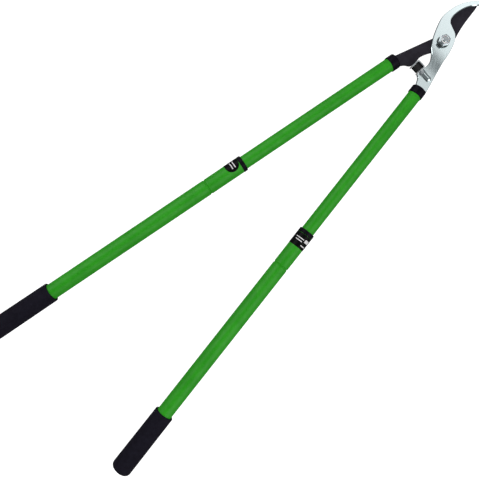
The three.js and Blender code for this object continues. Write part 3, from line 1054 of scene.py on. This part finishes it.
# %% [markdown]
# ## Jaw plates
# The jaws are cut from plate, so each is an outline with two flat faces. The outline is read from the CAD
# part at one height, and its short straight steps are turned into a smooth curve between the true corners.
# Then each side wall gets a small chamfer, and the working edges a wide ground bevel, by setting rings of
# points in from the outline. A Bevel modifier would need a weight on every edge for that, because these
# widths change along the outline.


# %% Reading a plate's outline
def outline_at(node, height):
    """The longest loop round the part's flat face at this height, counter-clockwise from above."""
    work = bmesh.new()
    work.from_mesh(frame["nodes"][node].data)
    bmesh.ops.remove_doubles(work, verts=work.verts, dist=1e-6)
    flat = {face for face in work.faces if all(abs(v.co.z - height) < 1e-5 for v in face.verts)}
    follow = {}
    for edge in work.edges:
        if len([face for face in edge.link_faces if face in flat]) == 1:
            for vertex in edge.verts:
                follow.setdefault(vertex, []).append(edge.other_vert(vertex))
    loops = []
    while follow:
        start = next(iter(follow))
        loop = [start]
        before, here = start, follow[start][0]
        while here is not start:
            loop.append(here)
            before, here = here, next(v for v in follow[here] if v is not before)
        for vertex in loop:
            follow.pop(vertex, None)
        loops.append([Vector(v.co.xy) for v in loop])
    work.free()
    outline = max(loops, key=lambda spots: sum((a - b).length for a, b in zip(spots, spots[1:])))
    area = sum(a.cross(b) for a, b in zip(outline, outline[1:] + outline[:1]))
    return outline if area > 0 else outline[::-1]


def turn_at(spots, i):
    """How far the outline turns at a point, in radians."""
    back = spots[i] - spots[i - 1]
    ahead = spots[(i + 1) % len(spots)] - spots[i]
    return back.angle(ahead) if back.length > 1e-9 and ahead.length > 1e-9 else 0.0


def smoothed(spots, corner=math.radians(24), step_length=0.9 * mm):
    """The outline as a smooth curve through its points, with its true corners kept."""
    spots = [spot for i, spot in enumerate(spots) if turn_at(spots, i) > math.radians(0.3)]
    count = len(spots)
    corners = {i for i in range(count) if turn_at(spots, i) > corner}
    made = []
    for i in range(count):
        here, there = spots[i], spots[(i + 1) % count]
        span = there - here
        before = spots[i - 1]
        beyond = spots[(i + 2) % count]
        leave_by = span if i in corners else (there - before).normalized() * span.length
        arrive_by = span if (i + 1) % count in corners else (beyond - here).normalized() * span.length
        steps = max(1, min(60, round(span.length / step_length)))
        for step in range(steps):
            t = step / steps
            made.append(
                here * (2 * t**3 - 3 * t**2 + 1)
                + leave_by * (t**3 - 2 * t**2 + t)
                + there * (3 * t**2 - 2 * t**3)
                + arrive_by * (t**3 - t**2)
            )
    return made


hook_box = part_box("hook_blade")
blade_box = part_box("cutting_blade")
hook_outline = smoothed(outline_at("hook_blade", hook_box[0].z))
blade_outline = smoothed(outline_at("cutting_blade", blade_box[0].z))
print("hook outline", len(hook_outline), "points; blade outline", len(blade_outline), "points")


# %% Building a plate from its outline
def outward(spots, i):
    """The outline's outward direction at a point, longer at a corner so that both sides move evenly."""
    back = (spots[i] - spots[i - 1]).normalized()
    ahead = (spots[(i + 1) % len(spots)] - spots[i]).normalized()
    middle = (back + ahead).normalized()
    stretch = min(1 / max(middle.dot(back), 0.3), 2.0)
    return Vector((middle.y, -middle.x)) * stretch


def cap_triangles(ring):
    """Triangles over a closed ring of level vertices, worked out in millimetres to be precise."""
    spots = [vertex.co.xy / mm for vertex in ring]
    inside = 1
    tolerance = 1e-4
    made = delaunay_2d_cdt(spots, [], [range(len(spots))], inside, tolerance)
    faces, sources = made[2], made[3]
    return [[ring[sources[corner][0]] for corner in face] for face in faces]


ground_width = 0.9 * mm


def plate(name, spots, low, high, bevels, finishes):
    """bevels(spot, outward) gives inset and depth below, then inset and depth above.

    A bevel wider than ground_width takes the second finish, if there is one.
    """
    work = bmesh.new()
    outs = [outward(spots, i) for i in range(len(spots))]
    cuts = [bevels(spot, out.normalized()) for spot, out in zip(spots, outs)]
    rings = [[], [], [], []]
    for spot, out, (inset_low, rise, inset_high, drop) in zip(spots, outs, cuts):
        levels = ((inset_low, low), (0, low + rise), (0, high - drop), (inset_high, high))
        for ring, (inset, height) in zip(rings, levels):
            place = spot - out * inset
            ring.append(work.verts.new((place.x, place.y, height)))
    count = len(spots)
    for i in range(count):
        after = (i + 1) % count
        for lower, upper, wide in ((0, 1, cuts[i][0]), (1, 2, 0), (2, 3, cuts[i][2])):
            below = rings[lower]
            above = rings[upper]
            face = work.faces.new((below[i], below[after], above[after], above[i]))
            face.material_index = int(wide > ground_width and len(finishes) > 1)
    for corners in (*cap_triangles(rings[0]), *cap_triangles(rings[3])):
        work.faces.new(corners)
    bmesh.ops.recalc_face_normals(work, faces=work.faces)
    return released(work, name, *finishes)


def eased(value, low, high):
    """0 below low, 1 above high and smooth between."""
    share = min(max((value - low) / (high - low), 0), 1)
    return share * share * (3 - 2 * share)


chamfer = 0.4 * mm
hook_tip = max(hook_outline, key=lambda spot: spot.x)
blade_tip = max(blade_outline, key=lambda spot: spot.x)
print("tips", [round(v / mm, 1) for v in (*hook_tip, *blade_tip)])

# %% [markdown]
# ### The hook
# The hook's inner edge, which the branch is pushed against, is ground to a bevel on the face away from the
# blade. The boss for the bumper's stud stands out of the plate as a round-ended rib, and the stud's nut
# sits in a notch of the lug. The notch belongs to the outline, because a cut in the plate would have to be
# chamfered by itself, and the boss is joined on.

# %% Hook
def half_width_of(box):
    return (box[1].x - box[0].x) / 2


hook_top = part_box("pivot_washer_front")[0].z - seat_gap
stud_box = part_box("bumper_stud")
stud_centre = (stud_box[0] + stud_box[1]) / 2
stud_radius = half_width_of(stud_box)
jam_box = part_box("bumper_jam_nut")
notch_floor = jam_box[0].y - seat_gap
boss_radius = 5.6 * mm
boss_length = 18 * mm
stud_hole_depth = 15 * mm
bolt_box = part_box("pivot_bolt")
bolt_radius = 4.85 * mm
turning_gap = 0.15 * mm
hook_chamfer = 1.5 * chamfer
hook_grind = 1.2 * mm


def hook_bevels(spot, out):
    from_tip = (spot - hook_tip).length
    edge = min(hook_chamfer, 0.05 * mm + 0.12 * from_tip)
    inner = eased(spot.x - pivot.x, 20 * mm, 34 * mm) * eased(-out.y, -0.25, 0.05)
    ground = min(hook_grind, 0.2 * from_tip) * inner
    return edge, edge, max(edge, ground), max(edge, ground)


def round_ended(length, radius, steps=14):
    """The profile of a rod with a ball end."""
    spots = [(0, 0), (0, radius)]
    for i in range(steps + 1):
        turn = math.pi / 2 * i / steps
        spots.append((length - radius + radius * math.sin(turn), radius * math.cos(turn)))
    return spots


def pivot_drill(finish):
    length = 40 * mm
    place = standing(pivot.x, pivot.y, pivot.z - length / 2, (0, 0, 1))
    return rod(length, bolt_radius + turning_gap, place, finish)


hook_plate = plate("hook", hook_outline, hook_box[0].z, hook_top, hook_bevels, [hook_steel])
boss_place = standing(stud_centre.x, notch_floor, stud_centre.z, (0, -1, 0))
boss = turned("boss", round_ended(boss_length, boss_radius), boss_place, hook_steel, 64)
reach_past = 20 * mm
above_back = block(
    (stud_centre.x - reach_past, notch_floor - 2 * reach_past, hook_box[0].z + 0.02 * mm),
    (stud_centre.x + reach_past, notch_floor + reach_past, hook_box[1].z + reach_past),
    Matrix.Identity(4),
    hook_steel,
)
boss = combined("INTERSECT", boss, above_back)
drill_start = notch_floor + 1 * mm
stud_drill = rod(
    drill_start - notch_floor + stud_hole_depth,
    stud_radius + turning_gap,
    standing(stud_centre.x, drill_start, stud_centre.z, (0, -1, 0)),
    hook_steel,
    48,
)
hook_mesh = combined("UNION", hook_plate, boss)
hook_mesh = combined("DIFFERENCE", hook_mesh, stud_drill, pivot_drill(hook_steel))
put("hook_jaw", hook_mesh, "hook_side", "polished_hook", "hook_blade", sharp=13)

# %% [markdown]
# ### The cutting blade
# A bypass blade slides past the hook, so the face next to the hook is flat and the whole bevel is on the
# other face. It is widest along the belly of the blade and runs out at the tip and at the heel. The bevel
# is bare ground steel, so its faces take the second finish.


# %% Cutting blade
blade_grind = 7.5 * mm
blade_land = 0.3 * mm
blade_break = 0.2 * mm


def blade_bevels(spot, out):
    cutting = eased(spot.x - pivot.x, 9 * mm, 24 * mm) * eased(out.y, 0.12, 0.4)
    ground = min(blade_grind, 0.42 * (spot - blade_tip).length) * cutting
    full_rise = blade_box[1].z - blade_box[0].z - blade_land - 2 * chamfer
    rise = chamfer + full_rise * min(ground / (3 * mm), 1.0)
    return max(chamfer, ground), rise, blade_break, blade_break


blade_mesh = plate(
    "blade", blade_outline, blade_box[0].z, blade_box[1].z, blade_bevels, [blade_coat, blade_ground]
)
blade_mesh = combined("DIFFERENCE", blade_mesh, pivot_drill(blade_coat))
put("cutting_jaw", blade_mesh, "blade_side", "coated_blade", "cutting_blade", sharp=13)

# %% [markdown]
# ## Threads with Geometry Nodes
# The ends of the pivot bolt and of the bumper's stud are threaded. A thread is a height that rises and
# falls along the rod and is shifted a little with each step round it, so that it climbs one pitch in a
# turn. The tree lays out a closed grid like the turned piece's, and lowers the radius by that wave. A
# bump in the material would be lighter, but the thread's teeth show against the light at the bolt's end.

# %% The threaded rod tree
thread_tree, entry, leave = geometry_tree(
    "threaded rod",
    [
        ("Length", FLOAT),
        ("Radius", FLOAT),
        ("Pitch", FLOAT),
        ("Depth", FLOAT),
        ("Sides", "NodeSocketInt"),
        ("Finish", "NodeSocketMaterial"),
    ],
)


def calc(operation, first, second=0.0):
    return math_node(thread_tree, operation, first, second)


rows_each_pitch = 8.0
step_length = calc("DIVIDE", entry["Pitch"], rows_each_pitch)
body_rows = calc("CEIL", calc("DIVIDE", entry["Length"], step_length))
all_rows = calc("ADD", body_rows, 3.0)
mesh, row, turn = grid_rows(thread_tree, all_rows, entry["Sides"])
distance = calc("MULTIPLY", calc("SUBTRACT", row, 1.0), step_length)
station = calc("MAXIMUM", calc("MINIMUM", distance, entry["Length"]), 0.0)
climb = calc("SUBTRACT", calc("DIVIDE", station, entry["Pitch"]), calc("DIVIDE", turn, math.tau))
wave = calc("PINGPONG", climb, 0.5)
groove = calc("MULTIPLY", calc("MULTIPLY", wave, 2.0), entry["Depth"])
from_end = calc("SUBTRACT", entry["Length"], station)
point = calc("MAXIMUM", calc("SUBTRACT", entry["Depth"], from_end), 0.0)
radius = calc("SUBTRACT", entry["Radius"], calc("MAXIMUM", groove, point))
not_first = calc("GREATER_THAN", row, 0.5)
not_last = calc("LESS_THAN", row, calc("SUBTRACT", all_rows, 1.5))
closed_radius = calc("MULTIPLY", calc("MULTIPLY", radius, not_first), not_last)
shaped = placed_on_circle(thread_tree, mesh, station, closed_radius, turn)
closed_and_finished(thread_tree, shaped, entry["Finish"], leave)
print(thread_tree.name, len(thread_tree.nodes), "nodes")


# %% Threaded rods, hexagons and washers
def threaded(name, length, radius, pitch, place, finish):
    depth = 0.54 * pitch
    values = {"Length": length, "Radius": radius, "Pitch": pitch, "Depth": depth, "Sides": 48}
    mesh = grown(name, thread_tree, [], Finish=finish, **values)
    mesh.transform(place)
    return mesh


def hexagon(across_flats, height, place, finish):
    """A hexagon bar whose corners are turned down to a cone at both ends, standing along x."""
    corner = across_flats / math.sqrt(3)
    work = bmesh.new()
    bmesh.ops.create_cone(work, cap_ends=True, segments=6, radius1=corner, radius2=corner, depth=height)
    stand = Matrix.Translation((height / 2, 0, 0)) @ Matrix.Rotation(math.pi / 2, 4, "Y")
    bmesh.ops.transform(work, matrix=stand, verts=work.verts)
    edges = work.edges[:]
    bmesh.ops.bevel(work, geom=edges, offset=0.15 * mm, segments=2, affect="EDGES", profile=0.6)
    prism = released(work, "hexagon", finish)
    prism.transform(place)
    flat = across_flats / 2
    face = 0.97 * flat
    over = 1.02 * corner
    slope = 1.15 * (corner - flat) * math.tan(math.pi / 6)
    soft = 0.2 * mm
    profile = rounded(
        (0, 0),
        (0, face, soft),
        (slope, over, soft),
        (height - slope, over, soft),
        (height, face, soft),
        (height, 0),
        steps=3,
    )
    return combined("INTERSECT", prism, turned("barrel", profile, place, finish, 72))


def disc(name, thickness, radius, bore, place, finish, edge=0.35 * mm):
    corners = ((0, bore, edge), (0, radius, edge), (thickness, radius, edge), (thickness, bore, edge))
    return turned(name, rounded(*corners, steps=4), place, finish, 96)


print("hardware tools ready")

# %% [markdown]
# ## The pivot
# A bolt comes up through both jaws, with its hexagon head underneath. On top sit a spring washer, coloured
# dark as painted shade round the foot of the nut, then a nut with a collar, and a nylon ring in the collar
# that keeps the nut from working loose. The bolt's end stands out of the nut, so its thread shows. Head,
# shank and thread are three simple meshes joined as one, because each has a rule of its own.

# %% Pivot bolt
def upright(z):
    return standing(pivot.x, pivot.y, z, (0, 0, 1))


head_across_flats = 16 * mm
thread_pitch = 1.5 * mm
joined_depth = 0.5 * mm
washer_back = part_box("pivot_washer_back")
washer_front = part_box("pivot_washer_front")
nut_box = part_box("pivot_nut")
ring_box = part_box("pivot_nut_ring")
head_top = washer_back[0].z - seat_gap
head = hexagon(head_across_flats, head_top - bolt_box[0].z, upright(bolt_box[0].z), zinc)
shank_end = nut_box[0].z + joined_depth
shank_start = head_top - joined_depth
shank = rod(shank_end - shank_start, bolt_radius, upright(shank_start), zinc)
thread_start = shank_end - joined_depth
thread_length = bolt_box[1].z - thread_start
thread = threaded("thread", thread_length, bolt_radius, thread_pitch, upright(thread_start), zinc)
bolt_mesh = combined("UNION", combined("UNION", head, shank), thread)
put("pivot_bolt_threaded", bolt_mesh, "hook_side", "zinc_hardware", "pivot_bolt", sharp=30)

# %% Pivot nut, its ring and the washers
nut_across_flats = 17 * mm
collar_height = 2.6 * mm
collar_wall = 0.6 * mm
nut_top = nut_box[1].z - collar_height
ring_radius = half_width_of(ring_box)
ring_seat = ring_radius + seat_gap
collar_radius = ring_seat + collar_wall
nut_body = hexagon(nut_across_flats, nut_top - nut_box[0].z, upright(nut_box[0].z), zinc)
collar_start = nut_top - 1 * mm
collar_end = nut_box[1].z - collar_start
collar = turned(
    "collar",
    rounded((0, 0), (0, collar_radius), (collar_end, collar_radius, 0.5 * mm), (collar_end, 0), steps=4),
    upright(collar_start),
    zinc,
)
seat = rod(2 * collar_height, ring_seat, upright(nut_top), zinc, 96)
nut_mesh = combined("UNION", nut_body, collar)
nut_mesh = combined("DIFFERENCE", nut_mesh, seat, pivot_drill(zinc))
put("pivot_lock_nut", nut_mesh, "hook_side", "zinc_hardware", "pivot_nut", sharp=30)

ring_height = ring_box[1].z - ring_box[0].z
bore = bolt_radius + turning_gap
ring = disc("nylon_ring", ring_height, ring_radius, bore, upright(ring_box[0].z), nylon)
put("nut_locking_ring", ring, "hook_side", "nylon_ring", "pivot_nut_ring")

# The front washer takes the dark tones, which are painted shade from the nut standing on it.
for name, node, box, slot, finish in (
    ("front_spring_washer", "pivot_washer_front", washer_front, "darkened_steel", painted_shade_washer),
    ("back_washer", "pivot_washer_back", washer_back, "zinc_hardware", zinc),
):
    mesh = disc(name, box[1].z - box[0].z, half_width_of(box), bore, upright(box[0].z), finish)
    put(name, mesh, "hook_side", slot, node)

# %% [markdown]
# ## The bumper
# A rubber cylinder takes the shock when the jaws close. It sits in a bent steel clip on the hook's lug,
# whose upper leg is what the blade's tang strikes. A threaded stud with a jam nut holds it, and its end is
# screwed into the boss. The clip is a strip bent twice, so it is made like the jaws, as a plate whose
# outline has rounded bends. That needs no bending of a finished mesh.

# %% Bumper rubber
def along_stud(y):
    return standing(stud_centre.x, y, stud_centre.z, (0, 1, 0))


rubber_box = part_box("bumper")
rubber_radius = half_width_of(rubber_box)
rubber_length = rubber_box[1].y - rubber_box[0].y
hole = stud_radius + seat_gap
stud_in_rubber = 5 * mm
hole_depth = stud_in_rubber + seat_gap
rubber = turned(
    "rubber",
    rounded(
        (0, hole, 0.2 * mm),
        (0, rubber_radius, 0.8 * mm),
        (rubber_length, rubber_radius, 0.8 * mm),
        (rubber_length, 0),
        (hole_depth, 0),
        (hole_depth, hole),
        steps=6,
    ),
    along_stud(rubber_box[0].y),
    bumper_rubber,
)
put("bumper_rubber_block", rubber, "hook_side", "bumper_rubber", "bumper", sharp=40)


# %% Bent clip
def clip_bevels(spot, out):
    edge = 0.3 * mm
    return edge, edge, edge, edge


clip_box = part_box("bumper_clip")
clip_steel = 2 * mm
outer_bend = 3.2 * mm
inner_bend = 0.38 * outer_bend
end_round = 0.12 * outer_bend
left, bottom = clip_box[0].xy
right, top = clip_box[1].xy
clip_outline = rounded(
    (left, bottom, end_round),
    (right, bottom, outer_bend),
    (right, top, outer_bend),
    (left, top, end_round),
    (left, top - clip_steel, end_round),
    (right - clip_steel, top - clip_steel, inner_bend),
    (right - clip_steel, bottom + clip_steel, inner_bend),
    (left, bottom + clip_steel, end_round),
    steps=6,
)
clip_spots = [Vector(spot) for spot in clip_outline]
clip_mesh = plate("clip", clip_spots, clip_box[0].z, clip_box[1].z, clip_bevels, [zinc])
clip_drill = rod(3 * clip_steel, hole, along_stud(bottom - clip_steel), zinc, 48)
clip_mesh = combined("DIFFERENCE", clip_mesh, clip_drill)
put("bumper_bent_clip", clip_mesh, "hook_side", "zinc_hardware", "bumper_clip", sharp=30)

# %% Stud and jam nut
stud_pitch = 1.0 * mm
stud_length = stud_box[1].y - stud_box[0].y
stud = threaded("stud", stud_length, stud_radius, stud_pitch, along_stud(stud_box[0].y), zinc)
put("bumper_threaded_stud", stud, "hook_side", "zinc_hardware", "bumper_stud", sharp=30)

jam_across_flats = 10 * mm
jam_height = jam_box[1].y - jam_box[0].y
jam = hexagon(jam_across_flats, jam_height, along_stud(jam_box[0].y), zinc)
jam_drill = rod(3 * jam_height, hole, along_stud(jam_box[0].y - jam_height), zinc, 48)
jam = combined("DIFFERENCE", jam, jam_drill)
put("stud_jam_nut", jam, "hook_side", "zinc_hardware", "bumper_jam_nut", sharp=30)

# %% [markdown]
# ## Parts inside the tubes
# The plugs, pins and the twist locks never show, and their CAD shapes are right as they are. They only
# take a finish, so that the model is whole when someone takes it apart.

# %% Finishes of the inner parts
inner_finish = {
    "tang_plug": black_plastic,
    "tang_pin": zinc,
    "lock_spindle": black_plastic,
    "lock_sleeve": black_plastic,
    "end_plug": black_plastic,
}
for prefix in prefixes:
    for part, finish in inner_finish.items():
        part_mesh = frame["nodes"][prefix + "_" + part].data
        part_mesh.materials.clear()
        part_mesh.materials.append(finish)
print(2 * len(inner_finish), "inner parts finished")

# %% [markdown]
# ## Floor
# A wide floor just under the grips. A catalogue picture has no shadows, and a photographer gets there with
# a light table, whose top glows. The glow here is only for the camera: it is switched off for every other
# ray, so that it doesn't light the tubes from below and wash out their dark edges.


# %% Floor
def floor_finish():
    finish = Finish("studio_floor", 0.9)
    cloud = finish.effect(clouding, Scale=1.5, Low=0.0, High=1.0)
    finish.coloured(finish.mixed(cloud, (0.33, 0.33, 0.33), (0.37, 0.37, 0.37)))
    finish.set(Specular_IOR_Level=0.0, Emission_Color=(1, 1, 1, 1))
    glow = shown_and_felt(finish.tree, shown=1.0, felt=0.0)
    feed(finish.tree, finish.shader.inputs["Emission Strength"], glow)
    return finish.material


floor_half = 6.0
floor_mesh = bpy.data.meshes.new("floor")
corners = [(-floor_half, -floor_half, 0), (floor_half, -floor_half, 0), (floor_half, floor_half, 0)]
floor_mesh.from_pydata([*corners, (-floor_half, floor_half, 0)], [], [(0, 1, 2, 3)])
floor_mesh.materials.append(floor_finish())
floor = bpy.data.objects.new("floor", floor_mesh)
floor.location.z = -0.0005
scene.collection.objects.link(floor)
print("floor", 2 * floor_half, "m wide")
